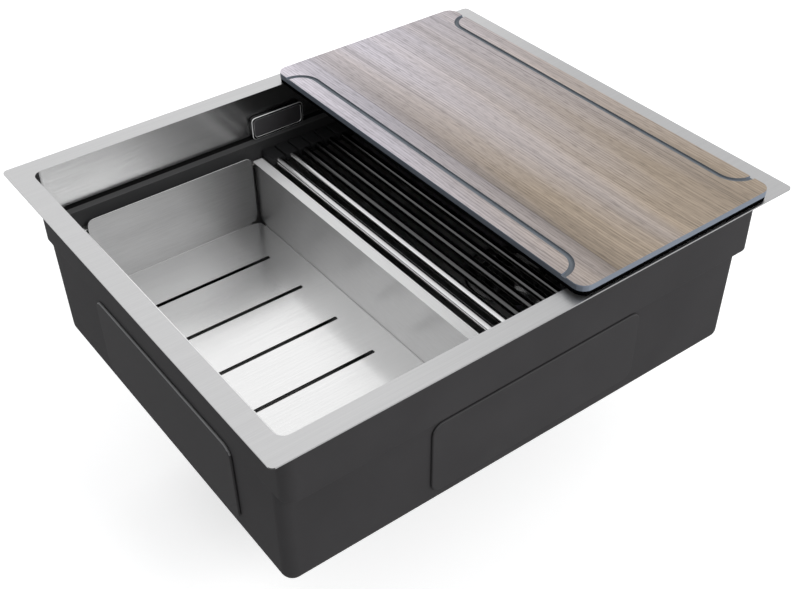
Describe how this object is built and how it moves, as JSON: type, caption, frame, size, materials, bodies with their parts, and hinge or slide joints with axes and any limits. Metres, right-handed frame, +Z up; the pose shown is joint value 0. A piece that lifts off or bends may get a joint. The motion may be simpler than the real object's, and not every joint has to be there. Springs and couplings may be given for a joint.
{
  "type": "workstation kitchen sink",
  "caption": "Drop-in steel sink with an inner ledge, lift-in colander, rod rack, cutting board on the rim, overflow and basket drain.",
  "frame": {"origin": "centre of the bowl opening, at the level of the worktop, which is the underside of the rim", "axes": "+X to the right seen from the front, +Y to the back, +Z up"},
  "size_m": [0.6, 0.5013, 0.3587],
  "materials": {
    "rim_steel": "satin",
    "bowl_steel": "satin",
    "band_paint": "matte",
    "coat": "matte",
    "pads": "matte",
    "rail_steel": "satin",
    "bright_steel": "polished",
    "dark_panel": "satin",
    "screw_steel": "satin",
    "black_rubber": "matte",
    "white_plastic": "matte",
    "hose_plastic": "matte",
    "clamp_plastic": "matte",
    "tray_steel": "satin",
    "rod_steel": "satin",
    "strip_rubber": "matte",
    "board_black": "matte",
    "board_core_grey": "matte",
    "board_wood": "matte"
  },
  "bodies": {
    "sink": {"rim_plate": "rim_steel", "upper_walls": "bowl_steel", "sink_bowl": "bowl_steel", "outer_band": "band_paint", "sound_coat": "coat", "pad_front": "pads", "pad_back": "pads", "pad_left": "pads", "pad_right": "pads", "pads_floor": "pads", "rail_front": "rail_steel", "rail_back": "rail_steel", "overflow_cover": "bright_steel", "overflow_panel": "dark_panel", "overflow_base": "bright_steel", "overflow_screws": "screw_steel", "overflow_gasket": "black_rubber", "overflow_housing": "white_plastic", "overflow_hose": "hose_plastic", "hose_clamp_top": "clamp_plastic", "hose_clamp_bottom": "clamp_plastic", "drain_body": "bright_steel", "drain_tube": "bright_steel", "drain_seal": "black_rubber", "drain_gasket": "black_rubber", "drain_slip_ring": "white_plastic", "drain_lock_nut": "white_plastic", "drain_adapter": "white_plastic"},
    "basket": {"basket_cup": "bright_steel", "basket_post": "screw_steel", "basket_stopper": "black_rubber"},
    "colander": {"colander_tray": "tray_steel"},
    "rack": {"rack_rods": "rod_steel", "rack_strip_front": "strip_rubber", "rack_strip_back": "strip_rubber"},
    "board": {"board_base": "board_black", "board_core": "board_core_grey", "board_face": "board_wood"}
  },
  "joints": [
    {"name": "colander_slide", "type": "slide", "parent": "sink", "child": "colander", "axis": [1, 0, 0], "range_m": [-0.02, 0.001]},
    {"name": "rack_slide", "type": "slide", "parent": "sink", "child": "rack", "axis": [1, 0, 0], "range_m": [0, 0.0035]},
    {"name": "board_slide", "type": "slide", "parent": "sink", "child": "board", "axis": [1, 0, 0], "range_m": [-0.31, 0.03]},
    {"name": "basket_lift", "type": "slide", "parent": "sink", "child": "basket", "axis": [0, 0, 1], "range_m": [0, 0.11]}
  ]
}
